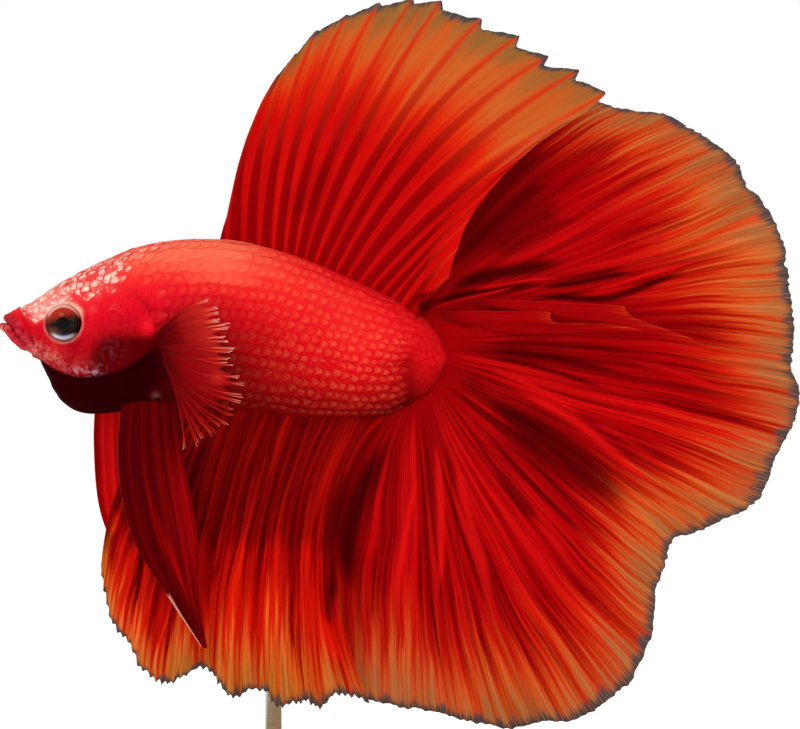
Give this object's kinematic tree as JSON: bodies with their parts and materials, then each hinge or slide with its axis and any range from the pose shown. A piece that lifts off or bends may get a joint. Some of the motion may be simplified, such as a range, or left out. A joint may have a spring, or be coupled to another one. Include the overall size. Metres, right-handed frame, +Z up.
{
  "type": "betta fish model",
  "caption": "Male betta fish with all its fins spread, as a still life-size model held over an oval base by a thin rod.",
  "frame": {"origin": "centre of the stand's flat underside, on the surface that the stand rests on", "axes": "+Z up, -X towards the fish's snout, -Y towards its left flank, which the usual view looks at"},
  "size_m": [0.0798, 0.038, 0.0846],
  "materials": {
    "skin": "moist scaled skin, satin, deep red with a salmon back",
    "lips": "moist satin red",
    "throat_skin": "dark red-black membrane, satin",
    "eye": "wet gloss over a dark red-brown iris",
    "fin": "thin silky membrane with rays, red to orange with a slate edge",
    "stand_wood": "oiled light wood, satin",
    "stand_steel": "fine brushed"
  },
  "bodies": {
    "root": {"head": "skin", "upper_jaw": "lips", "lower_jaw": "lips", "throat": "throat_skin", "gill_cover_left": "skin", "gill_cover_right": "skin", "eye_left": "eye", "eye_right": "eye", "trunk": "skin", "tail_base": "skin", "dorsal_fin": "fin", "anal_fin": "fin", "tail_fin": "fin", "pectoral_fin_left": "fin", "pectoral_fin_right": "fin", "pelvic_fin_left": "fin", "pelvic_fin_right": "fin", "stand_base": "stand_wood", "stand_rod": "stand_steel", "stand_collar": "stand_steel"}
  },
  "joints": []
}
